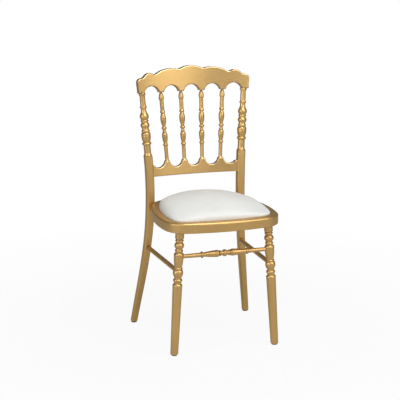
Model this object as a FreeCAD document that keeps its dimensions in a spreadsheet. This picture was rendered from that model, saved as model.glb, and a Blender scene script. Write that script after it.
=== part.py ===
import FreeCAD, Part
import math
import os
import types

import Sketcher
from FreeCAD import Vector

# Gold-painted turned-wood side chair with a domed drop-in seat.
# Millimetres; +Z up, the front of the chair faces -Y, the floor is z = 0.
# The right half is modelled and mirrored to the left.

SIZES = {
    # Seat hoop in plan: tangent arcs from the middle of the front edge round to the back edge.
    "seat_front_reach": 211,
    "seat_front_radius": 673,
    "seat_front_angle": 11.5,
    "seat_corner_radius": 74,
    "seat_corner_angle": 70.4,
    "seat_side_radius": 476,
    "seat_side_angle": 29.7,
    "seat_back_radius": 72,
    # Seat hoop in section, and its joints.
    "seat_top": 442,
    "seat_rail_height": 33.5,
    "seat_rail_width": 47,
    "seat_rim_width": 25,
    "seat_rebate_depth": 11,
    "seat_upper_rounding": 7,
    "seat_lower_rounding": 3,
    "seat_front_joint": 112,
    "seat_back_joint": 70,
    "seat_dowel_dia": 8,
    "seat_dowel_length": 44,
    # Front legs: the axis splays from the underside of the hoop down to the floor.
    "leg_splay_x": 23.7,
    "leg_splay_y": 9.6,
    "leg_edge_distance": 27,
    "leg_corner_angle": 49,
    "leg_let_in": 1,
    "leg_tenon_dia": 20,
    "leg_tenon_cover": 2.5,
    # Rear posts: the axis bends in one upright plane about a waist beside the hoop.
    "post_corner_angle": 42.5,
    "post_standoff": 15,
    "post_waist_height": 470,
    "post_plane_angle": 54,
    "post_lower_radius": 1200,
    "post_lower_angle": 13,
    "post_upper_radius": 1050,
    "post_upper_angle": 6.3,
    "post_shoulder_height": 597,
    "post_top_height": 808,
    "post_foot_side": 21.5,
    "post_calf_side": 24.5,
    "post_waist_side": 27,
    "post_corner_rounding": 6,
    "post_sink": 2,
    "post_let_in": 1.5,
    # Back: both rails follow one leaning bow.
    "bow_radius": 620,
    "back_shoulder_rise": 21.7,
    "spindle_foot_pitch": 63.3,
    "spindle_let_in": 0.6,
    "rail_thickness": 20,
    "rail_height": 50,
    "rail_bump_width": 17,
    "rail_valley_depth": 21,
    "rail_end_rise": 9,
    "rail_edge_rounding": 3,
    "rail_end_inset": 6,
    "rail_dowel_dia": 10,
    "rail_dowel_length": 36,
    "rail_dowel_drop": 33,
    "rail_dowel_sink": 9,
    # Crest rail: arches below, lobes above, both measured from the foot of the arches.
    "crest_thickness": 25,
    "crest_tip_width": 18,
    "crest_arch_rise": 21.5,
    "crest_block_inset": 6.5,
    "crest_end_margin": 17.5,
    "crest_middle_height": 85.5,
    "crest_middle_radius": 83,
    "crest_middle_slope": 26.5,
    "crest_dip_radius": 16,
    "crest_lobe_rise": 13.3,
    "crest_lobe_fall": 32,
    "crest_outer_dip_radius": 12.6,
    "crest_bump_rise": 30,
    "crest_bump_fall": 51.3,
    "crest_bump_radius": 25,
    "crest_shoulder_radius": 17.5,
    "crest_lip_slope": 12,
    "crest_lip_length": 7,
    "crest_end_radius": 13,
    "crest_end_slope": 95,
    "crest_edge_rounding": 3.5,
    # Stretchers.
    "front_stretcher_height": 327,
    "side_stretcher_height": 278,
    "side_stretcher_inset": 4,
    "stretcher_stop": 3,
    # Glides.
    "glide_height": 5,
    # Corner blocks and screws.
    "block_depth": 28,
    "block_length": 76,
    "block_height": 20,
    "block_drop": 1.5,
    "block_screw_length": 40,
    "block_screw_offset": 16,
    "post_screw_spacing": 10,
    # Drop-in pad: board, foam and cover.
    "pad_gap": 0.6,
    "cover_thickness": 1,
    "cover_margin": 38,
    "board_thickness": 9,
    "pad_rise": 50,
    "pad_dome_rise": 29.5,
    "pad_edge_rounding": 20,
}

# Turned pieces from one end to the other. Each mark has its distance from the one before it, its
# diameter and the swell of the edge that leads to it. A step has no length, "same" keeps the
# diameter, and "rest" takes the length that the other marks leave.
TURNINGS = {
    "leg": (25.5, [
        ("taper", "rest", 31.5, None),
        ("shoulder", 9, 23.5, 2),
        ("groove", 5, "same", None),
        ("ring", 11, "same", 3.4),
        ("ring_groove", 5, 23, None),
        ("barrel", 25, 27, 4.2),
        ("barrel_quirk", None, 24.5, None),
        ("barrel_ring", 7, "same", 2.3),
        ("neck", 2, "same", None),
        ("vase", 36, 31, 1.2),
        ("vase_shoulder", 11, 22.5, 2.5),
        ("vase_groove", 3, "same", None),
        ("upper_ring", 6.5, "same", 2.2),
        ("upper_groove", 3.5, 21.5, None),
        ("bead", 20, "same", 4.8),
        ("bead_groove", 2.5, "same", None),
        ("top_ring", 7.5, "same", 2.9),
        ("top_groove", 3, "same", None),
        ("collar_edge", None, 28.5, None),
        ("collar", 22.5, "same", None),
    ]),
    "post": (20, [
        ("core", 28, "same", None),
        ("quirk_edge", None, 25.5, None),
        ("quirk", 4, "same", None),
        ("base_edge", None, 28, None),
        ("base_flare", 14, 23.5, -1),
        ("column", "rest", "same", None),
        ("ring", 10, "same", 4),
        ("bulb", 24, 31, 1.5),
        ("bulb_shoulder", 9, 24, 1.8),
        ("band", 9, "same", 2),
        ("band_groove", 6, 23, None),
        ("bead", 17, "same", 3.7),
        ("bead_groove", 3.5, "same", None),
        ("thin_ring", 6, "same", 2.2),
        ("ring_groove", 2, "same", None),
        ("vase", 8.5, 30.5, 0.9),
        ("vase_shoulder", 9, 26, 0.8),
        ("vase_neck", 18, 18, -1.4),
        ("neck_groove", 2, "same", None),
        ("collar", 6, 20, 2.5),
        ("collar_flare", 5, 18.5, -0.3),
        ("shaft", 32, 18, None),
        ("top_edge", None, 21, None),
        ("top_ring", 8.5, "same", 1.2),
        ("tenon_edge", None, 13, None),
        ("tenon", 24, "same", None),
    ]),
    "spindle": (9, [
        ("foot_tenon", 14, "same", None),
        ("foot_edge", None, 17, None),
        ("foot_flare", 9, 12.6, -0.8),
        ("column", "rest", "same", None),
        ("cup_flare", 7, 18, -0.8),
        ("cup_edge", 5, 12.5, 0.8),
        ("cup_groove", 2, "same", None),
        ("vase", 26, 18.5, 1),
        ("vase_shoulder", 9, 11, 1.5),
        ("low_ring", 4, "same", 1.6),
        ("low_groove", 6, 10.5, None),
        ("bead", 10, "same", 3.6),
        ("high_groove", 3, "same", None),
        ("high_ring", 4, 13, 0.9),
        ("urn", 18, 19, 0.9),
        ("urn_shoulder", 19, 12, 1.4),
        ("urn_groove", 2, "same", None),
        ("cap_edge", 4, 18, 0.7),
        ("cap_flare", 9, 13.5, -0.8),
        ("shaft", 32, "same", None),
        ("acorn_edge", 5, 17.5, 0.8),
        ("acorn", 18, 9.5, 1.1),
        ("pin", 3.6, "same", None),
        ("head_edge", None, 9, None),
        ("head_tenon", 14, "same", None),
    ]),
    "front_stretcher": (12.5, [
        ("bar", "rest", 14.5, None),
        ("ring", 8, "same", 3.5),
        ("ring_groove", 4, "same", None),
        ("vase", 38, 22, 0.6),
        ("vase_shoulder", 13, 15, 2),
        ("collar", 5, "same", 2.3),
        ("collar_groove", 6, "same", None),
        ("half_bead", 7, 23, 1.15),
    ]),
    "side_stretcher": (12.5, [
        ("front_tenon", 14, "same", None),
        ("front_edge", None, 15, None),
        ("bar", "rest", "same", None),
        ("back_edge", None, 12.5, None),
        ("back_tenon", 11, "same", None),
    ]),
    "glide": (17, [
        ("edge", 1.2, 19.4, 0.3),
        ("body", "rest", "same", None),
        ("nail_edge", None, 3, None),
        ("nail", 12, "same", None),
    ]),
    "screw": (8.5, [
        ("head", 3.2, 4.5, None),
        ("shank", "rest", "same", None),
        ("point", 7, 1, None),
    ]),
}

class Size:
    """A value together with the sheet expression that gives it."""

    def __init__(self, value, text):
        self.value = value
        self.text = text

    def joined(self, other, sign, value):
        return Size(value, f"({self.text} {sign} {text_of(other)})")

    def __add__(self, other):
        return self.joined(other, "+", self.value + value_of(other))

    def __sub__(self, other):
        return self.joined(other, "-", self.value - value_of(other))

    def __mul__(self, other):
        return self.joined(other, "*", self.value * value_of(other))

    def __truediv__(self, other):
        return self.joined(other, "/", self.value / value_of(other))

    def __neg__(self):
        return Size(-self.value, f"(-{self.text})")

    def __radd__(self, other):
        return Size(other, str(other)) + self

    def __rsub__(self, other):
        return Size(other, str(other)) - self

    def __rmul__(self, other):
        return Size(other, str(other)) * self


ZERO = Size(0, "0")
HALF_TURN = Size(180, "180")


def value_of(size):
    return size.value if isinstance(size, Size) else size


def text_of(size):
    return size.text if isinstance(size, Size) else str(size)


def root(size):
    return Size(math.sqrt(size.value), f"sqrt({size.text})")


def sine(angle):
    return Size(math.sin(math.radians(angle.value)), f"sin({angle.text})")


def cosine(angle):
    return Size(math.cos(math.radians(angle.value)), f"cos({angle.text})")


def heading(rise, run):
    value = math.degrees(math.atan2(value_of(rise), value_of(run)))
    return Size(value, f"(atan2({text_of(rise)}; {text_of(run)}) / 1 deg)")


doc = FreeCAD.newDocument("chair")
sheet = doc.addObject("Spreadsheet::Sheet", "Sizes")
S = types.SimpleNamespace()
rows = []


def enter(name, value, cell):
    """Put a cell with its alias in the sheet and keep it as a size of the same name."""
    rows.append(name)
    sheet.set(f"A{len(rows)}", name)
    sheet.set(f"B{len(rows)}", cell)
    sheet.setAlias(f"B{len(rows)}", name)
    setattr(S, name, Size(value, f"Sizes.{name}"))
    return getattr(S, name)


def derive(name, size):
    return enter(name, size.value, "=" + size.text.replace("Sizes.", ""))


for size_name, size_value in SIZES.items():
    enter(size_name, size_value, str(size_value))


def bind(thing, path, size):
    if isinstance(size, Size):
        thing.setExpression(path, size.text)


def plane_of(body, role):
    return [f for f in body.Origin.OriginFeatures if f.Role == role][0]


def draw(sketch, corners):
    """A closed outline of corners (x, y, arc); arc is (radius, turn), turn 1 bending to the left."""
    start = sketch.GeometryCount
    spots = [Vector(value_of(x), value_of(y), 0) for x, y, arc in corners]
    ends = []
    for i, (x, y, arc) in enumerate(corners):
        here = spots[i]
        there = spots[(i + 1) % len(spots)]
        if arc is None:
            sketch.addGeometry(Part.LineSegment(here, there))
            ends.append((1, 2))
            continue
        radius, turn = arc
        chord = there - here
        middle = (here + there) / 2
        left = Vector(-chord.y, chord.x, 0).normalize()
        reach = math.sqrt(value_of(radius) ** 2 - chord.Length ** 2 / 4)
        centre = middle + left * turn * reach
        summit = centre - left * turn * value_of(radius)
        if turn > 0:
            sketch.addGeometry(Part.Arc(here, summit, there))
            ends.append((1, 2))
        else:
            sketch.addGeometry(Part.Arc(there, summit, here))
            ends.append((2, 1))
    for i, (x, y, arc) in enumerate(corners):
        edge = start + i
        after = (i + 1) % len(corners)
        sketch.addConstraint(Sketcher.Constraint(
            "Coincident", edge, ends[i][1], start + after, ends[after][0]))
        for kind, size in (("DistanceX", x), ("DistanceY", y)):
            k = sketch.addConstraint(Sketcher.Constraint(
                kind, -1, 1, edge, ends[i][0], float(value_of(size))))
            bind(sketch, f"Constraints[{k}]", size)
        if arc is not None:
            k = sketch.addConstraint(Sketcher.Constraint("Radius", edge, float(value_of(arc[0]))))
            bind(sketch, f"Constraints[{k}]", arc[0])


def sketched(body, name, role, outlines, at=(0, 0, 0)):
    sketch = body.newObject("Sketcher::SketchObject", name)
    sketch.AttachmentSupport = [(plane_of(body, role), "")]
    sketch.MapMode = "FlatFace"
    sketch.AttachmentOffset = FreeCAD.Placement(
        Vector(*[value_of(c) for c in at]), FreeCAD.Rotation())
    for axis, size in zip("xyz", at):
        bind(sketch, f"AttachmentOffset.Base.{axis}", size)
    for outline in outlines:
        draw(sketch, outline)
    return sketch


def padded(name, role, outlines, length, at=(0, 0, 0), side="One side"):
    body = doc.addObject("PartDesign::Body", name)
    sketch = sketched(body, f"{name}_outline", role, outlines, at)
    pad = body.newObject("PartDesign::Pad", f"{name}_pad")
    pad.Profile = sketch
    pad.SideType = side
    pad.Length = value_of(length)
    bind(pad, "Length", length)
    body.Tip = pad
    return body


def lofted(name, sections):
    """A loft through level sections, each an outline with the place of its centre."""
    body = doc.addObject("PartDesign::Body", name)
    sketches = []
    for i, (outline, at) in enumerate(sections):
        sketches.append(sketched(body, f"{name}_section_{i + 1}", "XY_Plane", [outline], at))
    loft = body.newObject("PartDesign::AdditiveLoft", f"{name}_loft")
    loft.Profile = sketches[0]
    loft.Sections = sketches[1:]
    body.Tip = loft
    return body


def place(thing, base, axis, angle):
    axis_text = "; ".join(text_of(c) for c in axis)
    base_text = "; ".join(text_of(c) for c in base)
    thing.setExpression(
        "Placement",
        f"placement(vector({base_text}); rotation(vector({axis_text}); {text_of(angle)}))")


def distance(start, end):
    return root(sum(((b - a) * (b - a) for a, b in zip(start[1:], end[1:])),
                    (end[0] - start[0]) * (end[0] - start[0])))


def along(thing, start, end):
    """Stand a piece that was made along +Z on a start point, pointing at an end point."""
    dx, dy, dz = (b - a for a, b in zip(start, end))
    place(thing, start, (-dy, dx, 0), heading(root(dx * dx + dy * dy), dz))


def between(start, end, share):
    return tuple(a + (b - a) * share for a, b in zip(start, end))


def enter_turning(piece):
    """Enter a turning's numbers in the sheet and return its marks as sizes."""
    start, marks = TURNINGS[piece]
    dia = enter(f"{piece}_start_dia", start, str(start))
    entered = [(None, dia, None)]
    for name, length, mark_dia, swell in marks:
        if length not in (None, "rest"):
            length = enter(f"{piece}_{name}_length", length, str(length))
        if mark_dia != "same":
            dia = enter(f"{piece}_{name}_dia", mark_dia, str(mark_dia))
        if swell is not None:
            swell = enter(f"{piece}_{name}_swell", swell, str(swell))
        entered.append((length, dia, swell))
    return entered


def laid_out(name, marks, total):
    """The marks as [radius, height, length and swell of the edge that leads there]."""
    rest = total
    for length, dia, swell in marks:
        if isinstance(length, Size):
            rest = rest - length
    rest = derive(f"{name}_rest", rest)
    height = 0
    spots = []
    for length, dia, swell in marks:
        if length == "rest":
            length = rest
        if length is not None:
            height = height + length
        spots.append([dia / 2, height, length, swell])
    return spots


def swollen(low, high, length, swell):
    """The arc between two radii a length apart that swells out of the straight line."""
    if swell is None:
        return None
    turn = 1 if swell.value > 0 else -1
    depth = swell * turn
    chord = length * length + (high - low) * (high - low)
    return (chord / (8 * depth) + depth / 2, turn)


def turned(name, piece, total, double=False):
    """A body of revolution along +Z; a double turning is mirrored about its middle."""
    total = derive(f"{name}_total", total)
    spots = laid_out(name, turnings[piece], total / 2 if double else total)
    right = []
    for here, there in zip(spots, spots[1:]):
        right.append((here[0], here[1], swollen(here[0], there[0], there[2], there[3])))
    right.append((spots[-1][0], spots[-1][1], None))
    if double:
        last = len(right) - 1
        for i in range(last - 1, -1, -1):
            x, y, arc = right[i]
            right[-1] = (right[-1][0], right[-1][1], arc)
            right.append((x, total - y, None))
    body = doc.addObject("PartDesign::Body", name)
    profile = [(0, 0, None)] + right + [(0, total, None)]
    sketch = sketched(body, f"{name}_profile", "XZ_Plane", [profile])
    turning = body.newObject("PartDesign::Revolution", f"{name}_turning")
    turning.Profile = sketch
    turning.ReferenceAxis = (sketch, ["V_Axis"])
    turning.Angle = 360
    body.Tip = turning
    return body


def peg(name, dia, start, end):
    """A plain round peg from one point to another."""
    cylinder = doc.addObject("Part::Cylinder", name)
    length = distance(start, end)
    cylinder.Radius = value_of(dia) / 2
    cylinder.Height = length.value
    bind(cylinder, "Radius", dia / 2)
    bind(cylinder, "Height", length)
    along(cylinder, start, end)
    return cylinder


def box(name, low, high):
    block = doc.addObject("Part::Box", name)
    sides = [b - a for a, b in zip(low, high)]
    for path, size in zip(("Length", "Width", "Height"), sides):
        setattr(block, path, value_of(size))
        bind(block, path, size)
    block.Placement.Base = Vector(*[value_of(c) for c in low])
    for axis, size in zip("xyz", low):
        bind(block, f"Placement.Base.{axis}", size)
    return block


def boolean(kind, name, base, tools):
    """Apply the tools to the base one after another."""
    for i, tool in enumerate(tools):
        step = doc.addObject(kind, f"{name}_{i + 1}")
        step.Base = base
        step.Tool = tool
        base = step
    return base


def cut(name, base, *tools):
    return boolean("Part::Cut", name, base, tools)


def mirrored(name, source):
    mirror = doc.addObject("Part::Mirroring", name)
    mirror.Source = source
    mirror.Normal = Vector(1, 0, 0)
    mirror.Base = Vector(0, 0, 0)
    return mirror


def grouped(name, things):
    group = doc.addObject("Part::Compound", name)
    group.Links = things
    return group


def both_sides(half):
    """Mirror half an outline, given from x = 0 round to x = 0 on the +X side."""
    whole = half[:-1]
    for i in range(len(half) - 1, 0, -1):
        x, y, arc = half[i]
        whole.append((-x if isinstance(x, Size) else x, y, half[i - 1][2]))
    return whole


nodes = {}


def keep(node, thing):
    thing.Label = node
    nodes[node] = thing
    return thing


def keep_pair(node, thing):
    """Keep a right-hand piece and its mirror image."""
    keep(f"{node}_right", thing)
    keep(f"{node}_left", mirrored(f"{node}_mirror", thing))


def rounded(body, name, radius, choose):
    """Fillet the edges of a body that choose() picks from its shape."""
    doc.recompute()
    base = body.Tip
    wanted = choose(base.Shape)
    names = []
    for i, edge in enumerate(base.Shape.Edges):
        if any(edge.isSame(other) for other in wanted):
            names.append(f"Edge{i + 1}")
    fillet = body.newObject("PartDesign::Fillet", name)
    fillet.Base = (base, names)
    fillet.Radius = value_of(radius)
    bind(fillet, "Radius", radius)
    body.Tip = fillet


def outer_rim(height):
    """Choose the outer edges of the level face at a height."""
    def choose(shape):
        level = [f for f in shape.Faces if f.BoundBox.ZLength < 0.01
                 and abs(f.CenterOfMass.z - height.value) < 0.01]
        return max(level, key=lambda f: f.BoundBox.DiagonalLength).OuterWire.Edges
    return choose


turnings = {piece: enter_turning(piece) for piece in TURNINGS}

# Seat hoop. Headings turn from 0 along the front edge to 180 along the back edge.
corner_heading = derive("corner_heading", S.seat_front_angle + S.seat_corner_angle)
side_heading = derive("side_heading", corner_heading + S.seat_side_angle)
hoop_headings = [ZERO, S.seat_front_angle, corner_heading, side_heading, HALF_TURN]
hoop_radii = [S.seat_front_radius, S.seat_corner_radius, S.seat_side_radius, S.seat_back_radius]


def hoop_points(inset):
    """Where the arcs of the plan meet, on the right, at an inset from the outer edge."""
    x = ZERO
    y = inset - S.seat_front_reach
    points = [(x, y)]
    for radius, before, after in zip(hoop_radii, hoop_headings, hoop_headings[1:]):
        x = x + (radius - inset) * (sine(after) - sine(before))
        y = y + (radius - inset) * (cosine(before) - cosine(after))
        points.append((x, y))
    return points


def hoop_outline(inset):
    """The plan outline at an inset from the outer edge."""
    points = hoop_points(inset)
    half = [(x, y, (radius - inset, 1)) for (x, y), radius in zip(points, hoop_radii)]
    half.append((*points[-1], None))
    half.append((0, points[-1][1], None))
    return both_sides(half)


seat_underside = derive("seat_underside", S.seat_top - S.seat_rail_height)
seat_ledge = derive("seat_ledge", S.seat_top - S.seat_rebate_depth)
hoop = padded("hoop", "XY_Plane", [hoop_outline(0), hoop_outline(S.seat_rail_width)],
              S.seat_rail_height, (0, 0, seat_underside))
rebate = hoop.newObject("PartDesign::Pocket", "hoop_rebate")
rebate.Profile = sketched(hoop, "rebate_outline", "XY_Plane", [hoop_outline(S.seat_rim_width)],
                          (0, 0, S.seat_top))
rebate.Length = S.seat_rebate_depth.value
bind(rebate, "Length", S.seat_rebate_depth)
hoop.Tip = rebate
rounded(hoop, "hoop_upper_rounding", S.seat_upper_rounding, outer_rim(S.seat_top))
rounded(hoop, "hoop_lower_rounding", S.seat_lower_rounding, outer_rim(seat_underside))

beyond = S.seat_front_reach * 2
front_box = box("front_box", (-S.seat_front_joint, -beyond, 0), (S.seat_front_joint, ZERO, S.seat_top * 2))
back_box = box("back_box", (-S.seat_back_joint, 0, 0), (S.seat_back_joint, beyond, S.seat_top * 2))
right_box = box("right_box", (0, -beyond, 0), (beyond, beyond, S.seat_top * 2))
front_rail = boolean("Part::Common", "front_rail_length", hoop, [front_box])
back_rail = boolean("Part::Common", "back_rail_length", hoop, [back_box])
side_rails = cut("side_rail_lengths", hoop, front_box, back_box)
side_rail = boolean("Part::Common", "side_rail_length", side_rails, [right_box])

dowel_reach = S.seat_dowel_length / 2
dowel_spacing = (seat_ledge - seat_underside) / 2
front_dowel_y = derive(
    "front_dowel_y",
    S.seat_rail_width / 2 - S.seat_front_reach + S.seat_front_radius
    - root(S.seat_front_radius * S.seat_front_radius - S.seat_front_joint * S.seat_front_joint))
back_dowel_y = derive("back_dowel_y", hoop_points(S.seat_rail_width / 2)[-1][1])
dowels = []
for joint, joint_x, joint_y in (("front", S.seat_front_joint, front_dowel_y),
                                ("back", S.seat_back_joint, back_dowel_y)):
    for level, side in (("low", -1), ("high", 1)):
        z = seat_underside + dowel_spacing * (1 + side / 2)
        dowels.append(peg(f"{joint}_{level}_dowel", S.seat_dowel_dia,
                          (joint_x - dowel_reach, joint_y, z),
                          (joint_x + dowel_reach, joint_y, z)))
dowels_left = [mirrored(f"{d.Name}_left", d) for d in dowels]

# Front legs, stepped into the corners of the hoop.
corner_x = derive("corner_x", hoop_points(0)[1][0] - S.seat_corner_radius * sine(S.seat_front_angle))
corner_y = derive("corner_y", hoop_points(0)[1][1] + S.seat_corner_radius * cosine(S.seat_front_angle))
leg_reach = S.seat_corner_radius - S.leg_edge_distance
leg_top = (derive("leg_top_x", corner_x + leg_reach * cosine(S.leg_corner_angle)),
           derive("leg_top_y", corner_y - leg_reach * sine(S.leg_corner_angle)),
           seat_underside)
leg_foot = (leg_top[0] + S.leg_splay_x, leg_top[1] - S.leg_splay_y, ZERO)
leg_turning = turned("leg_turning", "leg", distance(leg_foot, leg_top) + S.leg_let_in)
along(leg_turning, leg_foot, leg_top)
leg_tenon = peg("leg_tenon", S.leg_tenon_dia, leg_top, between(
    leg_foot, leg_top, (seat_ledge - S.leg_tenon_cover) / seat_underside))
leg = boolean("Part::Fuse", "leg_fused", leg_turning, [leg_tenon])
ground = box("ground", (-beyond, -beyond, -beyond), (beyond, beyond, S.glide_height))

# Rear posts: bent square stock below, turned above the shoulder.
back_corner_x = derive("back_corner_x", hoop_points(0)[-1][0])
back_corner_y = derive("back_corner_y", hoop_points(0)[-1][1] - S.seat_back_radius)
post_reach = S.seat_back_radius + S.post_standoff
waist_x = derive("waist_x", back_corner_x + post_reach * cosine(S.post_corner_angle))
waist_y = derive("waist_y", back_corner_y + post_reach * sine(S.post_corner_angle))
low_rise = derive("low_rise", S.post_lower_radius * sine(S.post_lower_angle))
high_rise = derive("high_rise", S.post_upper_radius * sine(S.post_upper_angle))


def bent(rise, radius):
    """How far the axis has left the upright through the waist, within a bend."""
    return radius - root(radius * radius - rise * rise)


def lower_offset(rise):
    """The same below the lower bend."""
    return bent(low_rise, S.post_lower_radius) + (rise - low_rise) * (
        sine(S.post_lower_angle) / cosine(S.post_lower_angle))


def upper_offset(rise):
    """The same above the upper bend."""
    return bent(high_rise, S.post_upper_radius) + (rise - high_rise) * (
        sine(S.post_upper_angle) / cosine(S.post_upper_angle))


def post_point(offset, height):
    return (waist_x + offset * cosine(S.post_plane_angle),
            waist_y + offset * sine(S.post_plane_angle), height)


def post_section(side):
    h = side / 2
    r = S.post_corner_rounding
    k = h - r
    return [(-k, -h, None), (k, -h, (r, 1)), (h, -k, None), (h, k, (r, 1)),
            (k, h, None), (-k, h, (r, 1)), (-h, k, None), (-h, -k, (r, 1))]


foot_rise = S.post_waist_height - S.glide_height
shin_rise = (foot_rise + low_rise) / 2
thigh_rise = low_rise / 2
shoulder_rise = S.post_shoulder_height - S.post_waist_height
top_rise = S.post_top_height - S.post_waist_height
post_sections = [
    (lower_offset(foot_rise), foot_rise, S.post_foot_side),
    (lower_offset(shin_rise), shin_rise, (S.post_foot_side + S.post_calf_side) / 2),
    (bent(low_rise, S.post_lower_radius), low_rise, S.post_calf_side),
    (bent(thigh_rise, S.post_lower_radius), thigh_rise, (S.post_calf_side + S.post_waist_side) / 2),
    (ZERO, ZERO, S.post_waist_side),
    (bent(high_rise / 2, S.post_upper_radius), -(high_rise / 2), S.post_waist_side),
    (upper_offset(shoulder_rise), -shoulder_rise, S.post_waist_side),
]
post_stock = lofted("post_stock", [
    (post_section(side), post_point(offset, S.post_waist_height - drop))
    for offset, drop, side in post_sections])
shoulder = post_point(upper_offset(shoulder_rise), S.post_shoulder_height)
shoulder = (derive("shoulder_x", shoulder[0]), derive("shoulder_y", shoulder[1]), shoulder[2])
post_top = post_point(upper_offset(top_rise), S.post_top_height)
post_top = (derive("post_top_x", post_top[0]), derive("post_top_y", post_top[1]), post_top[2])
post_span = derive("post_span", distance(shoulder, post_top))
post_buried = S.post_core_length + S.post_sink
post_turning = turned("post_turning", "post", post_span + post_buried + S.post_tenon_length)
along(post_turning, between(shoulder, post_top, -(post_buried / post_span)), post_top)
post = boolean("Part::Fuse", "post_fused", post_stock, [post_turning])

# Back: the bow leans so that it passes through the axes of both posts.
def bow_at(x):
    return root(S.bow_radius * S.bow_radius - x * x) - S.bow_radius


shoulder_bow = derive("shoulder_bow", bow_at(shoulder[0]))
bow_change = derive("bow_change", bow_at(post_top[0]) - shoulder_bow)
rise_y = post_top[1] - shoulder[1]
rise_z = post_top[2] - shoulder[2]
back_rise = derive("back_rise", root(rise_y * rise_y + rise_z * rise_z - bow_change * bow_change))
back_lean = derive("back_lean", heading(rise_y, rise_z) - heading(bow_change, back_rise))
lean_sine = derive("lean_sine", sine(back_lean))
lean_cosine = derive("lean_cosine", cosine(back_lean))
back_y = derive("back_y", shoulder[1] - shoulder_bow * lean_cosine - S.back_shoulder_rise * lean_sine)
back_z = derive("back_z", shoulder[2] + shoulder_bow * lean_sine - S.back_shoulder_rise * lean_cosine)
crest_base = derive("crest_base", S.back_shoulder_rise + back_rise - S.post_let_in)


def back_point(x, rise):
    """The point of the bow at a distance from the centre line and a rise above the lower rail."""
    bow = bow_at(x)
    return (x, back_y + bow * lean_cosine + rise * lean_sine,
            back_z - bow * lean_sine + rise * lean_cosine)


def bowed(name, thickness, outline, foot, low, height, reach, rounding):
    """A rail cut to an outline out of a bowed board that leans with the back."""
    inner = S.bow_radius - thickness / 2
    outer = S.bow_radius + thickness / 2
    wide = reach + thickness
    board = both_sides([
        (0, -(thickness / 2), (inner, -1)),
        (wide, root(inner * inner - wide * wide) - S.bow_radius, None),
        (wide, root(outer * outer - wide * wide) - S.bow_radius, (outer, 1)),
        (0, thickness / 2, None),
    ])
    body = padded(name, "XY_Plane", [board], height * 2, (0, 0, low - height / 2))
    waste = both_sides([(0, -height * 3, None), (wide * 2, -height * 3, None),
                        (wide * 2, height * 3, None), (0, height * 3, None)])
    sawing = body.newObject("PartDesign::Pocket", f"{name}_sawing")
    sawing.Profile = sketched(body, f"{name}_pattern", "XZ_Plane", [waste, outline], (0, foot, 0))
    sawing.SideType = "Symmetric"
    sawing.Type = "ThroughAll"
    body.Tip = sawing
    bow_faces = (inner.value, outer.value)
    rounded(body, f"{name}_rounding", rounding, lambda shape: [
        edge for face in shape.Faces if hasattr(face.Surface, "Radius")
        and min(abs(face.Surface.Radius - r) for r in bow_faces) < 0.001
        and face.Surface.Axis.getAngle(Vector(0, 0, 1)) % math.pi < 0.001
        for edge in face.OuterWire.Edges])
    place(body, (0, back_y, back_z), (1, 0, 0), -back_lean)
    return body


valley_span = S.spindle_foot_pitch - S.rail_bump_width
valley_radius = derive("valley_radius", valley_span * valley_span / (8 * S.rail_valley_depth)
                       + S.rail_valley_depth / 2)
valley_centre = valley_radius - S.rail_valley_depth
shelf = S.rail_end_rise - S.rail_valley_depth
shelf_x = S.spindle_foot_pitch * 2 + root(
    valley_radius * valley_radius - (valley_centre - shelf) * (valley_centre - shelf))
rail_end = shoulder[0] - S.rail_end_inset
rail_outline = both_sides([
    (0, -S.rail_height, None),
    (rail_end, -S.rail_height, None),
    (rail_end, shelf, None),
    (shelf_x, shelf, (valley_radius, -1)),
    (valley_span * 1.5 + S.rail_bump_width * 2, 0, None),
    (valley_span * 1.5 + S.rail_bump_width, 0, (valley_radius, -1)),
    (valley_span * 0.5 + S.rail_bump_width, 0, None),
    (valley_span * 0.5, 0, (valley_radius, -1)),
    (0, -S.rail_valley_depth, None),
])
lower_rail = bowed("lower_rail", S.rail_thickness, rail_outline, 0, -S.rail_height, S.rail_height,
                   rail_end, S.rail_edge_rounding)

block_in = post_top[0] - S.crest_block_inset
arch_span = derive("arch_span", (block_in * 2 - S.crest_tip_width * 4) / 5)
arch = (derive("arch_radius", arch_span * arch_span / (8 * S.crest_arch_rise) + S.crest_arch_rise / 2), -1)
crest_steps = [
    (S.crest_middle_radius, -S.crest_middle_slope, -1),
    (S.crest_dip_radius, S.crest_lobe_rise, 1),
    (None, -S.crest_lobe_fall, -1),
    (S.crest_outer_dip_radius, S.crest_bump_rise, 1),
    (S.crest_bump_radius, -S.crest_bump_fall, -1),
    (S.crest_shoulder_radius, -S.crest_lip_slope, 1),
    (S.crest_lip_length, -S.crest_lip_slope, 0),
    (S.crest_end_radius, -S.crest_end_slope, -1),
]
crest_end = derive("crest_end", post_top[0] + S.crest_end_margin)
lobe_reach = crest_end
before = ZERO
for radius, after, turn in crest_steps:
    if turn == 0:
        lobe_reach = lobe_reach - radius * cosine(after)
    elif radius is not None:
        lobe_reach = lobe_reach - radius * turn * (sine(after) - sine(before))
    before = after
lobe_radius = derive("crest_lobe_radius",
                     lobe_reach / (sine(S.crest_lobe_rise) + sine(S.crest_lobe_fall)))
x = ZERO
y = S.crest_middle_height
before = ZERO
crest_top = [(0, y, None)]
for radius, after, turn in crest_steps:
    radius = radius or lobe_radius
    if turn == 0:
        x = x + radius * cosine(after)
        y = y + radius * sine(after)
        arc = None
    else:
        x = x + radius * turn * (sine(after) - sine(before))
        y = y + radius * turn * (cosine(before) - cosine(after))
        arc = (radius, -turn)
    before = after
    x = derive(f"crest_top_x_{len(crest_top)}", x)
    y = derive(f"crest_top_y_{len(crest_top)}", y)
    crest_top.append((x, y, arc))
crest_low_end = x + y * cosine(S.crest_end_slope) / sine(S.crest_end_slope)
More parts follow.
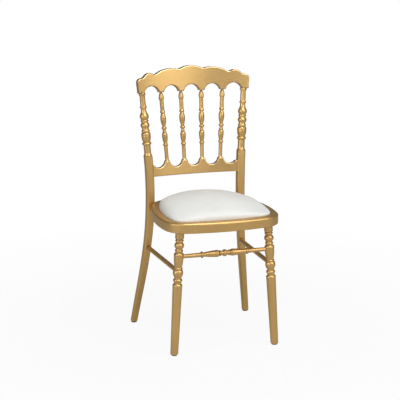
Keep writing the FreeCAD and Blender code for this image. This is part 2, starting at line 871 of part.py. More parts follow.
crest_outline = both_sides([
    (0, S.crest_arch_rise, arch),
    (arch_span * 0.5, 0, None),
    (arch_span * 0.5 + S.crest_tip_width, 0, arch),
    (arch_span * 1.5 + S.crest_tip_width, 0, None),
    (arch_span * 1.5 + S.crest_tip_width * 2, 0, arch),
    (arch_span * 2.5 + S.crest_tip_width * 2, 0, None),
    (crest_low_end, 0, None),
] + crest_top[::-1])
crest = bowed("crest", S.crest_thickness, crest_outline, crest_base, crest_base,
              S.crest_middle_height, crest_end, S.crest_edge_rounding)

spindles = []
for name, step in (("inner", 0.5), ("outer", 1.5)):
    low = back_point(S.spindle_foot_pitch * step, -S.spindle_let_in)
    high = back_point((arch_span + S.crest_tip_width) * step, crest_base + S.spindle_let_in)
    low = tuple(derive(f"{name}_foot_{axis}", c) for axis, c in zip("xyz", low))
    high = tuple(derive(f"{name}_head_{axis}", c) for axis, c in zip("xyz", high))
    span = derive(f"{name}_span", distance(low, high))
    spindle = turned(f"{name}_spindle", "spindle",
                     span + S.spindle_foot_tenon_length + S.spindle_head_tenon_length)
    along(spindle, between(low, high, -(S.spindle_foot_tenon_length / span)), high)
    spindles.append(spindle)

dowel_rise = -S.rail_dowel_drop
dowel_in = S.rail_dowel_sink + post_point(bent(high_rise / 2, S.post_upper_radius),
                                          S.post_waist_height)[0]
rail_dowel = peg("rail_dowel", S.rail_dowel_dia, back_point(dowel_in, dowel_rise),
                 back_point(dowel_in - S.rail_dowel_length, dowel_rise))

# Stretchers.
stretcher_share = S.front_stretcher_height / seat_underside
stretcher_right = between(leg_foot, leg_top, stretcher_share)
stretcher_x = derive("stretcher_x", stretcher_right[0] - S.stretcher_stop)
stretcher_left = (-stretcher_x, stretcher_right[1], stretcher_right[2])
stretcher_right = (stretcher_x, stretcher_right[1], stretcher_right[2])
front_stretcher = turned("front_turned_stretcher", "front_stretcher", stretcher_x * 2, double=True)
along(front_stretcher, stretcher_left, stretcher_right)

side_front = between(leg_foot, leg_top, S.side_stretcher_height / seat_underside)
side_back = post_point(bent(S.post_waist_height - S.side_stretcher_height, S.post_lower_radius),
                       S.side_stretcher_height)
side_back = (side_back[0] - S.side_stretcher_inset, side_back[1], side_back[2])
side_span = derive("side_span", distance(side_front, side_back))
side_start = between(side_front, side_back, S.stretcher_stop / side_span)
side_stretcher = turned("side_plain_stretcher", "side_stretcher", side_span - S.stretcher_stop * 2)
along(side_stretcher, side_start, side_back)

# Glides, flat on the floor.
glides = {}
glide_total = S.glide_height + S.glide_nail_length
foot_share = S.glide_height / seat_underside
for name, (x, y, z) in (
        ("front", between(leg_foot, leg_top, foot_share)),
        ("rear", post_point(lower_offset(foot_rise), S.glide_height))):
    glide = turned(f"{name}_glide", "glide", glide_total)
    place(glide, (x, y, 0), (0, 0, 1), 0)
    glides[name] = glide

# Corner blocks behind the hoop, and their screws.
block_top = seat_ledge - S.block_drop
screw_height = block_top - S.block_height / 2


def corner_block(name, middle, inner, angle):
    """A block across a corner of the hoop; its outer side is cut to fit the rails."""
    face = inner - S.block_depth
    half = S.block_length / 2
    block = padded(f"{name}_block", "XY_Plane", [[
        (face, -half, None), (inner, -half, None), (inner, half, None), (face, half, None)]],
        S.block_height)
    place(block, (*middle, block_top - S.block_height), (0, 0, 1), angle)
    return cut(f"{name}_block_fitted", block, hoop)


def corner_screw(name, middle, angle, start, aside, height, length):
    """A screw that runs outward from the face of a corner block."""
    def spot(out):
        return (middle[0] + out * cosine(angle) - aside * sine(angle),
                middle[1] + out * sine(angle) + aside * cosine(angle), height)
    screw = turned(name, "screw", length)
    along(screw, spot(start), spot(start + length))
    return screw


front_angle = derive("front_block_angle", S.seat_front_angle + S.seat_corner_angle / 2 - 90)
front_inner = S.seat_corner_radius - S.seat_rail_width
back_inner = S.seat_back_radius - S.seat_rail_width
front_block = corner_block("front", (corner_x, corner_y), front_inner, front_angle)
rear_block = corner_block("rear", (back_corner_x, back_corner_y), back_inner, S.post_corner_angle)
block_screws = [
    corner_screw(f"block_screw_{i + 1}", (corner_x, corner_y), front_angle,
                 front_inner - S.block_depth, S.block_screw_offset * side, screw_height,
                 S.block_screw_length)
    for i, side in enumerate((-1, 1))]
post_screws = [
    corner_screw(f"post_screw_{i + 1}", (back_corner_x, back_corner_y), S.post_corner_angle,
                 back_inner - S.block_depth, ZERO,
                 screw_height + S.post_screw_spacing * (side / 2),
                 S.block_depth + S.seat_rail_width + S.post_standoff)
    for i, side in enumerate((-1, 1))]
block_screws_left = [mirrored(f"{s.Name}_left", s) for s in block_screws]
post_screws_left = [mirrored(f"{s.Name}_left", s) for s in post_screws]

# Drop-in pad. The dome is struck about the middle of the seat and spans it from edge to edge.
cover_inset = S.seat_rim_width + S.pad_gap
board_inset = cover_inset + S.cover_thickness
cover_points = hoop_points(cover_inset)
pad_middle = derive("pad_middle", (cover_points[0][1] + cover_points[-1][1]) / 2)
pad_half_length = (cover_points[-1][1] - cover_points[0][1]) / 2
pad_half_width = cover_points[2][0] + (S.seat_side_radius - cover_inset) * (1 - sine(corner_heading))
pad_span = derive("pad_span", (pad_half_length + pad_half_width) / 2)
dome_radius = derive("dome_radius", pad_span * pad_span / (2 * S.pad_dome_rise) + S.pad_dome_rise / 2)
pad_crown = derive("pad_crown", S.seat_top + S.pad_rise)
board_low = derive("board_low", seat_ledge + S.cover_thickness)
board_high = derive("board_high", board_low + S.board_thickness)
board = padded("board", "XY_Plane", [hoop_outline(board_inset)], S.board_thickness, (0, 0, board_low))


def dome(name, inset, crown, radius, rounding):
    """A cushion over the board: a prism with a domed top and a rounded edge."""
    body = padded(name, "XY_Plane", [hoop_outline(inset)], crown - board_high, (0, 0, board_high))
    waste = [(0, crown, None), (0, crown * 2, None), (radius * 0.6, crown * 2, None),
             (radius * 0.6, crown - radius * 0.2, (radius, 1))]
    doming = body.newObject("PartDesign::Groove", f"{name}_doming")
    doming.Profile = sketched(body, f"{name}_profile", "XZ_Plane", [waste], (0, 0, -pad_middle))
    doming.ReferenceAxis = (doming.Profile[0], ["V_Axis"])
    doming.Angle = 360
    body.Tip = doming
    rounded(body, f"{name}_rounding", rounding, lambda shape: max(
        shape.Faces, key=lambda face: face.CenterOfMass.z).OuterWire.Edges)
    return body


foam = dome("foam", board_inset, pad_crown - S.cover_thickness, dome_radius, S.pad_edge_rounding)
cover_dome = dome("cover_dome", cover_inset, pad_crown, dome_radius + S.cover_thickness,
                  S.pad_edge_rounding + S.cover_thickness)
cover_band = padded("cover_band", "XY_Plane", [hoop_outline(cover_inset)],
                    S.cover_thickness + S.board_thickness, (0, 0, seat_ledge))
cover_hole = padded("cover_hole", "XY_Plane", [hoop_outline(board_inset + S.cover_margin)],
                    S.cover_thickness, (0, 0, seat_ledge))
cover_whole = boolean("Part::Fuse", "cover_whole", cover_band, [cover_dome])

# Fit the pieces: whatever holds a piece is cut by it.
post_left = mirrored("post_left", post)
keep_pair("rear_post", cut("post_fitted", post, lower_rail, side_stretcher, rail_dowel,
                           glides["rear"], *post_screws))
leg = cut("leg_fitted", leg, ground, side_stretcher, front_stretcher, glides["front"])
keep_pair("front_leg", leg)
spindles_left = [mirrored(f"{s.Name}_left", s) for s in spindles]
for i, spindle in enumerate(spindles_left[::-1] + spindles):
    keep(f"back_spindle_{i + 1}", spindle)
rail_dowel_left = mirrored("rail_dowel_left", rail_dowel)
keep("crest_rail", cut("crest_fitted", crest, post, post_left, *spindles, *spindles_left))
keep("lower_back_rail", cut("lower_rail_fitted", lower_rail, rail_dowel, rail_dowel_left,
                            *spindles, *spindles_left))
keep("back_rail_dowels", grouped("back_rail_dowel_pair", [rail_dowel, rail_dowel_left]))
keep("seat_front_rail", cut("front_rail_fitted", front_rail, *dowels[:2], *dowels_left[:2]))
keep("seat_rear_rail", cut("back_rail_fitted", back_rail, *dowels[2:], *dowels_left[2:]))
keep_pair("seat_side_rail", cut("side_rail_fitted", side_rail, post, leg, *dowels, *block_screws,
                                *post_screws))
keep("seat_frame_dowels", grouped("seat_dowel_set", dowels + dowels_left))
keep("front_stretcher", front_stretcher)
keep_pair("side_stretcher", side_stretcher)
keep_pair("corner_block_front", cut("front_block_bored", front_block, *block_screws))
keep_pair("corner_block_rear", cut("rear_block_bored", rear_block, *post_screws))
keep("corner_block_screws", grouped("block_screw_set", block_screws + block_screws_left))
keep("post_screws", grouped("post_screw_set", post_screws + post_screws_left))
keep_pair("glide_front", glides["front"])
keep_pair("glide_rear", glides["rear"])
keep("seat_board", board)
keep("seat_foam", foam)
keep("seat_cover", cut("cover_hollowed", cover_whole, foam, board, cover_hole))

doc.recompute()
for thing in doc.Objects:
    if "Invalid" in thing.State or "Error" in thing.State:
        raise RuntimeError(f"{thing.Label} did not build: {thing.State}")
for node, thing in nodes.items():
    if thing.Shape.isNull() or not thing.Shape.isValid() or not thing.Shape.Solids:
        raise RuntimeError(f"{node} has no sound solid")
os.makedirs("parts", exist_ok=True)
for node, thing in nodes.items():
    thing.Shape.exportStep(f"parts/{node}.step")
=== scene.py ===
import math

import bpy
from mathutils import Matrix, Vector


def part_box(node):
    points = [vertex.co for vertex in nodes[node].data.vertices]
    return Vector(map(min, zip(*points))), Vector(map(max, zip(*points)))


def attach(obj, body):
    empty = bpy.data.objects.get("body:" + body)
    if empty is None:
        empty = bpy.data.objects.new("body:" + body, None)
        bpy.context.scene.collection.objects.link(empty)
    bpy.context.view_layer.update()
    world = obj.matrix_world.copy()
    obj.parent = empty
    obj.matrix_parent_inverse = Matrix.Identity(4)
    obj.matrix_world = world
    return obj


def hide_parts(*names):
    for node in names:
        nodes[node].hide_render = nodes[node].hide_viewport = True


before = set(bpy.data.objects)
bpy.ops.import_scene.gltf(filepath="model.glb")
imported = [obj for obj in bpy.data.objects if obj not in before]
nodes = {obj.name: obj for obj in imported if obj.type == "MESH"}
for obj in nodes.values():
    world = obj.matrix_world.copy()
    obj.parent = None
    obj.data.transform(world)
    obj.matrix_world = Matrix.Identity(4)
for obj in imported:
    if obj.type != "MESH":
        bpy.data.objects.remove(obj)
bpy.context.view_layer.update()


# Front legs: beech turned on a lathe, with a round tenon up into the seat hoop.
# Primed and sprayed with satin gold bronze paint, which keeps a faint orange peel,
# goes darker where it pools in the grooves, plus painted shade there, and is rubbed
# brighter on the rims, plus a painted highlight along them.
class Value:
    """A socket of a finish, so that shader maths can be written as plain sums."""

    def __init__(self, tree, socket=None):
        self.tree = tree
        self.socket = socket

    def node(self, kind, settings, sockets, out=0):
        """Add a node: its settings come first, then the values or links of its sockets."""
        added = self.tree.nodes.new(kind)
        for name, setting in settings.items():
            setattr(added, name, setting)
        for name, value in sockets.items():
            if isinstance(value, Value):
                self.tree.links.new(value.socket, added.inputs[name])
            else:
                added.inputs[name].default_value = value
        return Value(self.tree, added.outputs[out])

    def maths(self, operation, first, second):
        return self.node("ShaderNodeMath", {"operation": operation}, {0: first, 1: second})

    def __add__(self, other):
        return self.maths("ADD", self, other)

    __radd__ = __add__

    def __sub__(self, other):
        return self.maths("SUBTRACT", self, other)

    def __rsub__(self, other):
        return self.maths("SUBTRACT", other, self)

    def __mul__(self, other):
        return self.maths("MULTIPLY", self, other)

    __rmul__ = __mul__

    def between(self, low, high):
        """0 below low, 1 above high and straight in between."""
        return self.node("ShaderNodeMapRange", {"clamp": True},
                         {"Value": self, "From Min": low, "From Max": high})

    def mixed(self, first, second):
        """The first colour where this value is 0, the second where it is 1."""
        return self.node("ShaderNodeMix", {"data_type": "RGBA"},
                         {"Factor": self, 6: first, 7: second}, out=2)


def finish(name, **constants):
    """A new material with the numbers and colours that are the same all over it."""
    material = bpy.data.materials.new(name)
    material.use_nodes = True
    shader = material.node_tree.nodes["Principled BSDF"]
    for socket, value in constants.items():
        shader.inputs[socket.replace("_", " ")].default_value = value
    return material, shader, Value(material.node_tree)


def feed(shader, start, **links):
    """Link what changes over the surface to the shader's sockets."""
    for socket, value in links.items():
        start.tree.links.new(value.socket, shader.inputs[socket.replace("_", " ")])


def dress(material, *pieces):
    """Give pieces of the frame a finish."""
    for piece in pieces:
        nodes[piece].material_slots[0].material = material


def on_object(start, out="Object"):
    """Places, or outward directions, that stay with the piece when it moves."""
    return start.node("ShaderNodeTexCoord", {}, {}, out=out)


def upward(start, direction):
    """The vertical part of a place or direction."""
    return start.node("ShaderNodeSeparateXYZ", {}, {"Vector": direction}, out="Z")


def along_grain(start, stretch):
    """Object coordinates squeezed along the grain, so that a pattern runs lengthways."""
    return start.node("ShaderNodeMapping", {}, {"Vector": on_object(start), "Scale": stretch})


def noise(start, place, scale, detail=2.0, roughness=0.5):
    return start.node("ShaderNodeTexNoise", {},
                      {"Vector": place, "Scale": scale, "Detail": detail, "Roughness": roughness},
                      out="Fac")


def openness(start, reach, inside=False):
    """1 on open surface, less where others crowd in within reach, or inside at thin rims."""
    return start.node("ShaderNodeAmbientOcclusion",
                      {"samples": 8, "inside": inside, "only_local": inside},
                      {"Distance": reach}, out="AO")


def relief(start, strength, depth, height):
    return start.node("ShaderNodeBump", {},
                      {"Strength": strength, "Distance": depth, "Height": height})


def gold_paint(name, stretch, painted_shade_strength=0.0):
    """Satin gold bronze paint on beech whose grain runs along the short side of stretch.

    Given painted_shade_strength, level faces get that much painted shade, and the upward bevel
    beside them a painted highlight.
    """
    thin_gold = (0.62, 0.39, 0.14, 1.0)
    full_gold = (0.72, 0.47, 0.185, 1.0)
    wear_and_highlight_gold = (0.92, 0.72, 0.42, 1.0)
    pool_and_shade_gold = (0.27, 0.14, 0.045, 1.0)
    painted_highlight_gold = (0.95, 0.76, 0.44, 1.0)
    painted_shade_gold = (0.22, 0.115, 0.035, 1.0)
    material, shader, start = finish(name, Metallic=0.88, IOR=1.5)
    place = on_object(start)
    cloud = noise(start, place, 9.0, 3.0)
    flake = noise(start, place, 2600.0, 1.0)
    peel = noise(start, place, 420.0, 2.0)
    grain = noise(start, along_grain(start, stretch), 900.0, 4.0, 0.6)
    # Darker brown in grooves and recesses, found by occlusion: pooled paint plus painted shade.
    pool_and_shade = (1.0 - openness(start, 0.010)).between(0.12, 0.6)
    # Lighter on convex rims: rubbed wear plus a painted highlight.
    rim = (1.0 - openness(start, 0.004, inside=True)).between(0.3, 0.7)
    wear_and_highlight = rim * cloud.between(0.25, 0.6)
    tone = (cloud * 0.6 + flake * 0.25 + grain * 0.15).between(0.3, 0.7)
    base = tone.mixed(thin_gold, full_gold)
    base = (wear_and_highlight * 0.75).mixed(base, wear_and_highlight_gold)
    base = (pool_and_shade * 0.75).mixed(base, pool_and_shade_gold)
    if painted_shade_strength:
        # Painted shade on the level faces and a painted highlight on the upward bevel beside them.
        up = upward(start, on_object(start, "Normal"))
        shaded_faces = (up * up).between(0.3, 0.6)
        # corner is the upward bevel, lightened as a painted highlight.
        corner = up.between(0.2, 0.35) * (1.0 - shaded_faces)
        base = (corner * 0.8).mixed(base, painted_highlight_gold)
        base = (shaded_faces * painted_shade_strength).mixed(base, painted_shade_gold)
    gloss = 0.37 + (flake - 0.5) * 0.10 + pool_and_shade * 0.12 - wear_and_highlight * 0.08 + (cloud - 0.5) * 0.08
    feed(shader, start, Base_Color=base, Roughness=gloss,
         Normal=relief(start, 0.22, 0.0002, peel * 0.6 + grain * 0.4))
    return material


gold_upright = gold_paint("gold_upright", (1.0, 1.0, 0.05))
dress(gold_upright, "front_leg_left", "front_leg_right")


# Rear posts: steam-bent square legs that a lathe turns round above the lower back rail.
# Beech with the same paint and grain as the front legs, screwed to the hoop from inside.
dress(gold_upright, "rear_post_left", "rear_post_right")


# Seat hoop: four sawn lengths of beech, dowelled end to end and moulded on the outside.
# The front and rear lengths have grain across the chair, the sides from front to back.
gold_across = gold_paint("gold_across", (0.05, 1.0, 1.0))
gold_lengthways = gold_paint("gold_lengthways", (1.0, 0.05, 1.0))
dress(gold_across, "seat_front_rail", "seat_rear_rail")
dress(gold_lengthways, "seat_side_rail_left", "seat_side_rail_right")


# Back: a crest rail and a lower rail, bandsawn to their scallops out of bowed boards,
# with four turned spindles fanned out between them and glued into bored holes.
# Their level sawn faces carry painted shade and their upward bevels a painted highlight.
gold_shaded_rails = gold_paint("gold_shaded_rails", (0.05, 1.0, 1.0), painted_shade_strength=0.8)
dress(gold_shaded_rails, "crest_rail", "lower_back_rail")
dress(gold_upright, "back_spindle_1", "back_spindle_2", "back_spindle_3", "back_spindle_4")


# Stretchers: a turned one between the front legs and plain round ones at the sides.
# Beech, glued into bored holes in the legs and painted with them.
dress(gold_across, "front_stretcher")
dress(gold_lengthways, "side_stretcher_left", "side_stretcher_right")


# Under the hoop: sawn beech glue blocks and dowels that no paint reaches.
# Zinc-plated screws hold the blocks and the posts.
def bare_beech(name, stretch):
    """Sawn beech: pale pink-brown, with short dark flecks along the grain."""
    dark_ring = (0.50, 0.30, 0.165, 1.0)
    pale_ring = (0.66, 0.44, 0.27, 1.0)
    fleck_brown = (0.30, 0.155, 0.075, 1.0)
    material, shader, start = finish(name, IOR=1.45)
    lengthways = along_grain(start, stretch)
    ring = noise(start, lengthways, 120.0, 3.0, 0.55)
    fleck = noise(start, lengthways, 1500.0, 2.0, 0.6)
    base = ring.between(0.3, 0.7).mixed(dark_ring, pale_ring)
    base = (fleck.between(0.58, 0.72) * 0.6).mixed(base, fleck_brown)
    feed(shader, start, Base_Color=base, Roughness=0.58 + fleck * 0.25,
         Normal=relief(start, 0.3, 0.0003, fleck * 0.6 + ring * 0.4))
    return material


corners = ("front_left", "front_right", "rear_left", "rear_right")
block_beech = bare_beech("block_beech", (0.1, 1.0, 1.0))
dress(block_beech, *(f"corner_block_{corner}" for corner in corners))
dress(block_beech, "seat_frame_dowels", "back_rail_dowels")

zinc, shader, start = finish("screw_zinc", Metallic=1.0)
bloom = noise(start, on_object(start), 700.0, 3.0)
feed(shader, start, Base_Color=bloom.mixed((0.42, 0.41, 0.38, 1.0), (0.66, 0.65, 0.62, 1.0)),
     Roughness=0.28 + bloom * 0.3)
dress(zinc, "corner_block_screws", "post_screws")


# Glides: brown nylon buttons moulded round a nail, one driven up into each foot.
# They are scuffed pale where they slide on the floor.
nylon, shader, start = finish("glide_nylon", IOR=1.53)
spot = on_object(start)
worn = 1.0 - upward(start, spot).between(0.0, 0.003)
scuff = worn * noise(start, spot, 900.0, 4.0, 0.7).between(0.4, 0.6)
feed(shader, start, Base_Color=scuff.mixed((0.155, 0.095, 0.042, 1.0), (0.34, 0.27, 0.19, 1.0)),
     Roughness=0.42 + scuff * 0.3)
dress(nylon, *(f"glide_{corner}" for corner in corners))


# Seat board: 9 mm birch plywood sawn to the shape of the rebate, with its plies showing
# along the edge. It lies loose in the hoop and the cover is stapled to its underside.
ply_wave = 4189.0  # radians in a metre, so that a pale and a dark ply take 1.5 mm
ply, shader, start = finish("birch_plywood", IOR=1.45)
height = upward(start, on_object(start))
layer = start.maths("SINE", height * ply_wave, 0.0).between(-0.2, 0.2)
figure = noise(start, along_grain(start, (0.08, 1.0, 1.0)), 90.0, 4.0, 0.6)
vessel = noise(start, along_grain(start, (0.05, 1.0, 1.0)), 1400.0, 2.0, 0.6)
base = figure.between(0.3, 0.7).mixed((0.58, 0.41, 0.24, 1.0), (0.74, 0.57, 0.37, 1.0))
base = (layer * 0.45).mixed(base, (0.40, 0.25, 0.13, 1.0))
base = (vessel.between(0.6, 0.75) * 0.4).mixed(base, (0.33, 0.19, 0.09, 1.0))
feed(shader, start, Base_Color=base, Roughness=0.55 + vessel * 0.25,
     Normal=relief(start, 0.25, 0.0003, vessel))
dress(ply, "seat_board")


# Seat pad: domed foam on the board under one piece of white leatherette, pulled down over
# the edge and turned under. The foam pushes it tight, so it bellies out above the rim.
def choose(piece, wanted):
    """Select, in edit mode, the faces of a piece that wanted() is true for."""
    bpy.ops.object.mode_set(mode="EDIT")
    bpy.ops.mesh.select_mode(type="FACE")
    bpy.ops.mesh.select_all(action="DESELECT")
    bpy.ops.object.mode_set(mode="OBJECT")
    for face in piece.data.polygons:
        face.select = wanted(face)
    bpy.ops.object.mode_set(mode="EDIT")


foam_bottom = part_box("seat_foam")[0].z
board_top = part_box("seat_board")[1].z
cover_low, cover_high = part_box("seat_cover")
pad_middle = (cover_low + cover_high) / 2
pad_half_width = (cover_high.x - cover_low.x) / 2

# The foam is drawn down past the board, so that the skin can be cut off level below it.
spare_depth = 0.006
skin_cell = 0.0045
leather_thickness = 0.0009
bpy.ops.object.select_all(action="DESELECT")
pad = nodes["seat_foam"].copy()
pad.data = nodes["seat_foam"].data.copy()
pad.name = "seat_pad"
pad.parent = None
bpy.context.collection.objects.link(pad)
pad.select_set(True)
bpy.context.view_layer.objects.active = pad
bpy.ops.object.mode_set(mode="EDIT")
bpy.ops.mesh.select_all(action="SELECT")
bpy.ops.mesh.remove_doubles(threshold=0.00001)
choose(pad, lambda face: face.normal.z < -0.9)
bpy.ops.transform.translate(value=(0.0, 0.0, cover_low.z - spare_depth - foam_bottom))
bpy.ops.object.mode_set(mode="OBJECT")
pad.data.remesh_voxel_size = skin_cell
bpy.ops.object.voxel_remesh()
bpy.ops.object.mode_set(mode="EDIT")
bpy.ops.mesh.select_all(action="SELECT")
bpy.ops.transform.shrink_fatten(value=leather_thickness)
bpy.ops.object.mode_set(mode="OBJECT")

# The rebate holds the pad up to one height, and above the other it swells freely.
held_below = 0.447
free_above = 0.462
most_swell = 0.0025


def freedom(height):
    return min(max((height - held_below) / (free_above - held_below), 0.0), 1.0)


held = pad.vertex_groups.new(name="held")
for point in pad.data.vertices:
    if point.co.z < held_below:
        held.add([point.index], 1.0, "REPLACE")
still = [point.co.copy() for point in pad.data.vertices]
cloth = pad.modifiers.new("swell", "CLOTH")
cloth.settings.vertex_group_mass = "held"
cloth.settings.use_pressure = True
cloth.settings.uniform_pressure_force = 4.0
cloth.settings.effector_weights.gravity = 0.0
for moment in range(1, 21):
    bpy.context.scene.frame_set(moment)
bpy.ops.object.modifier_apply(modifier="swell")
bpy.context.scene.frame_set(1)
for point, before in zip(pad.data.vertices, still):
    allowed = most_swell * freedom(before.z)
    swell = point.co - before
    if swell.length > allowed:
        point.co = before + swell.normalized() * allowed

# Hand-cut foam is a little fuller at the rear and on the left, and the cover clears the board.
fuller_rear = 0.0035
fuller_left = 0.0045
clear_above = 0.0009
clear_beside = 0.0005
clear_over = 0.004
for point in pad.data.vertices:
    free = freedom(point.co.z)
    aside = (point.co - pad_middle) / pad_half_width
    over_board = min(max((point.co.z - board_top) / clear_over + 1.0, 0.0), 1.0)
    point.co.z += free * (fuller_rear * aside.y - fuller_left * aside.x) + clear_above * over_board
    point.co.xy += aside.xy.normalized() * clear_beside * over_board * (1.0 - free)
even = pad.modifiers.new("even", "SMOOTH")
even.factor = 0.5
even.iterations = 12
even.vertex_group = "held"
even.invert_vertex_group = True
bpy.ops.object.modifier_apply(modifier="even")
soft = pad.modifiers.new("soft", "SUBSURF")
soft.levels = soft.render_levels = 1
bpy.ops.object.modifier_apply(modifier="soft")

# The skin is cut off level, and its edge is turned in under the board and closed there.
hem_height = cover_low.z + 0.0003
margin_share = (0.90, 0.89, 1.0)
raw_edge_share = (0.865, 0.855, 1.0)
margin_thickness = 0.0016
bpy.ops.object.mode_set(mode="EDIT")
bpy.ops.mesh.select_all(action="SELECT")
bpy.ops.mesh.bisect(plane_co=(0.0, 0.0, hem_height), plane_no=(0.0, 0.0, 1.0),
                    clear_inner=True)
bpy.ops.mesh.select_mode(type="EDGE")
bpy.ops.mesh.select_all(action="DESELECT")
bpy.ops.mesh.select_non_manifold()
bpy.ops.object.mode_set(mode="OBJECT")
hem = [point.co - pad_middle for point in pad.data.vertices if point.select]
bpy.ops.object.mode_set(mode="EDIT")
for share in (margin_share, raw_edge_share):
    bpy.ops.mesh.extrude_edges_move()
    bpy.ops.transform.resize(value=share, center_override=pad_middle)
bpy.ops.mesh.extrude_edges_move(
    TRANSFORM_OT_translate={"value": (0.0, 0.0, margin_thickness)})
bpy.ops.mesh.edge_face_add()
bpy.ops.mesh.select_all(action="SELECT")
bpy.ops.mesh.normals_make_consistent(inside=False)
bpy.ops.object.mode_set(mode="OBJECT")
bpy.ops.object.shade_smooth()

leatherette, shader, start = finish("white_leatherette", IOR=1.5, Specular_IOR_Level=0.35)
spot = on_object(start)
pebble = start.node("ShaderNodeTexVoronoi", {"feature": "SMOOTH_F1"},
                    {"Vector": spot, "Scale": 750.0, "Smoothness": 0.6}, out="Distance")
crease = noise(start, spot, 130.0, 4.0, 0.6)
shade = noise(start, spot, 14.0, 3.0)
# Where the hoop and board crowd in, the cover is darkened to warm brown: painted shade.
crowded_shade = (1.0 - openness(start, 0.022)).between(0.08, 0.7)
base = shade.between(0.3, 0.7).mixed((0.765, 0.77, 0.75, 1.0), (0.815, 0.82, 0.80, 1.0))
base = (pebble.between(0.35, 0.75) * 0.12).mixed(base, (0.62, 0.61, 0.57, 1.0))
base = (crowded_shade * 0.45).mixed(base, (0.50, 0.44, 0.32, 1.0))
feed(shader, start, Base_Color=base, Roughness=0.50 + shade * 0.12 + pebble * 0.08,
     Normal=relief(start, 0.35, 0.0004, pebble * 0.7 + crease * 0.3))
pad.data.materials.clear()
pad.data.materials.append(leatherette)
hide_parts("seat_cover", "seat_foam")
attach(pad, "seat_pad")


# Staples: bent zinc-plated wire, shot through the turned-under margin into the board all round.
# One is bent up from a bar and copied along the hem, then all are joined into one piece.
staple_bar = (0.011, 0.0012, 0.0006)
staple_bend = 0.0047
staple_prong = 0.005
staple_rounding = 0.00025
staple_gap = 0.027
staple_line = (0.83, 0.815)
staple_height = cover_low.z + 0.0002
bpy.ops.object.select_all(action="DESELECT")
bpy.ops.mesh.primitive_cube_add(size=1.0, location=(0.0, 0.0, 0.0))
staple = bpy.context.object
staple.scale = staple_bar
bpy.ops.object.transform_apply(location=True, rotation=True, scale=True)
bpy.ops.object.mode_set(mode="EDIT")
for bend in (-staple_bend, staple_bend):
    bpy.ops.mesh.select_all(action="SELECT")
    bpy.ops.mesh.bisect(plane_co=(bend, 0.0, 0.0), plane_no=(1.0, 0.0, 0.0))
choose(staple, lambda face: face.normal.z > 0.9 and abs(face.center.x) > staple_bend)
bpy.ops.mesh.extrude_region_move(TRANSFORM_OT_translate={"value": (0.0, 0.0, staple_prong)})
choose(staple, lambda face: face.normal.z < -0.9)
bpy.ops.mesh.bevel(offset=staple_rounding, segments=1, affect="EDGES")
bpy.ops.object.mode_set(mode="OBJECT")
hem.sort(key=lambda spot: math.atan2(spot.y, spot.x))
walked = staple_gap
wires = []
for spot, after in zip(hem, hem[1:] + hem[:1]):
    way = after - spot
    walked += way.length
    if walked < staple_gap:
        continue
    walked = 0.0
    wire = staple.copy()
    wire.data = staple.data.copy()
    bpy.context.collection.objects.link(wire)
    place = Vector((pad_middle.x + spot.x * staple_line[0],
                    pad_middle.y + spot.y * staple_line[1], staple_height))
    turn = Matrix.Rotation(math.atan2(way.y, way.x), 4, "Z")
    wire.data.transform(Matrix.Translation(place) @ turn)
    wires.append(wire)
bpy.data.objects.remove(staple)
bpy.ops.object.select_all(action="DESELECT")
for wire in wires:
    wire.select_set(True)
staples = wires[0]
bpy.context.view_layer.objects.active = staples
bpy.ops.object.join()
staples.name = "cover_staples"
staples.data.materials.append(zinc)
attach(staples, "seat_pad")


# Studio: a white sweep under four soft boxes: one overhead for the seat, a big one at the
# front right that gives the gold its shine, and weaker ones at the left and the front left.
# The sweep is white to the camera, and dimmer to reflections, so that the gold keeps its depth.
def ray_kinds(start):
    """Camera rays, and the mirrored and see-through rays together."""
    seen = start.node("ShaderNodeLightPath", {}, {}, out="Is Camera Ray")
    mirrored = start.node("ShaderNodeLightPath", {}, {}, out="Is Glossy Ray")
    through = start.node("ShaderNodeLightPath", {}, {}, out="Is Transmission Ray")
    return seen, mirrored + through


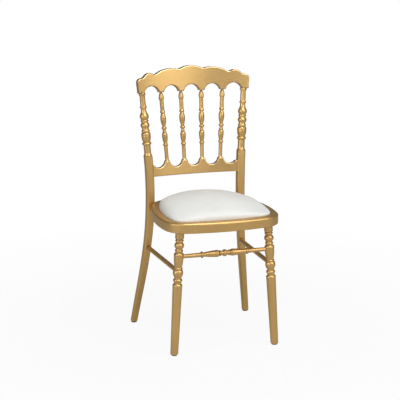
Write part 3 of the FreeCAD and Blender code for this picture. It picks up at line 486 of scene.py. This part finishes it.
bpy.ops.object.select_all(action="DESELECT")
bpy.ops.mesh.primitive_plane_add(size=12.0, location=(0.0, 0.0, -0.0004))
floor = bpy.context.object
floor.name = "studio_floor"
white = bpy.data.materials.new("studio_white")
white.use_nodes = True
white.node_tree.nodes.clear()
start = Value(white.node_tree)
seen, reflected = ray_kinds(start)
away = start.node("ShaderNodeVectorMath", {"operation": "LENGTH"}, {0: on_object(start)},
                  out="Value")
plain = seen * (0.93 + away.between(0.5, 1.6) * 0.07) + reflected * 0.1
matt = start.node("ShaderNodeBsdfDiffuse", {}, {"Color": (0.6, 0.6, 0.6, 1.0)})
bright = start.node("ShaderNodeEmission", {}, {"Color": (1.0, 1.0, 1.0, 1.0), "Strength": 1.0})
sweep = start.node("ShaderNodeMixShader", {}, {0: plain, 1: matt, 2: bright})
surface = white.node_tree.nodes.new("ShaderNodeOutputMaterial")
white.node_tree.links.new(sweep.socket, surface.inputs["Surface"])
floor.data.materials.append(white)

world = bpy.data.worlds.new("studio_world")
bpy.context.scene.world = world
world.use_nodes = True
start = Value(world.node_tree)
seen, reflected = ray_kinds(start)
backdrop = world.node_tree.nodes["Background"]
backdrop.inputs["Color"].default_value = (1.0, 1.0, 1.0, 1.0)
glow = 0.15 + seen * 0.85 + reflected * 0.05
world.node_tree.links.new(glow.socket, backdrop.inputs["Strength"])


def look_at(thing, aim):
    """Turn a lamp or camera towards a point."""
    thing.rotation_euler = (thing.location - Vector(aim)).to_track_quat("Z", "Y").to_euler()


def soft_box(name, place, aim, width, height, power):
    """An area lamp at a place, turned to face a point."""
    bpy.ops.object.light_add(type="AREA", location=place)
    lamp = bpy.context.object
    lamp.name = name
    lamp.data.shape = "RECTANGLE"
    lamp.data.size = width
    lamp.data.size_y = height
    lamp.data.energy = power
    look_at(lamp, aim)


soft_box("top_light", (0.2, -1.1, 3.1), (0.0, 0.0, 0.5), 2.0, 2.0, 54.0)
soft_box("right_light", (2.0, -3.1, 2.1), (0.0, 0.0, 0.7), 2.6, 2.4, 53.0)
soft_box("side_light", (-3.6, -1.4, 1.5), (0.0, 0.0, 0.6), 2.4, 2.0, 40.0)
soft_box("left_light", (-1.8, -4.0, 2.0), (0.0, 0.0, 0.7), 2.2, 2.0, 23.0)

bpy.ops.object.camera_add(location=(-1.396, -4.1452, 1.4993))
camera = bpy.context.object
look_at(camera, (-0.025, 0.015, 0.4638))
camera.data.sensor_width = 36.0
camera.data.lens = 122.1
bpy.context.scene.camera = camera
bpy.context.scene.view_settings.view_transform = "Standard"
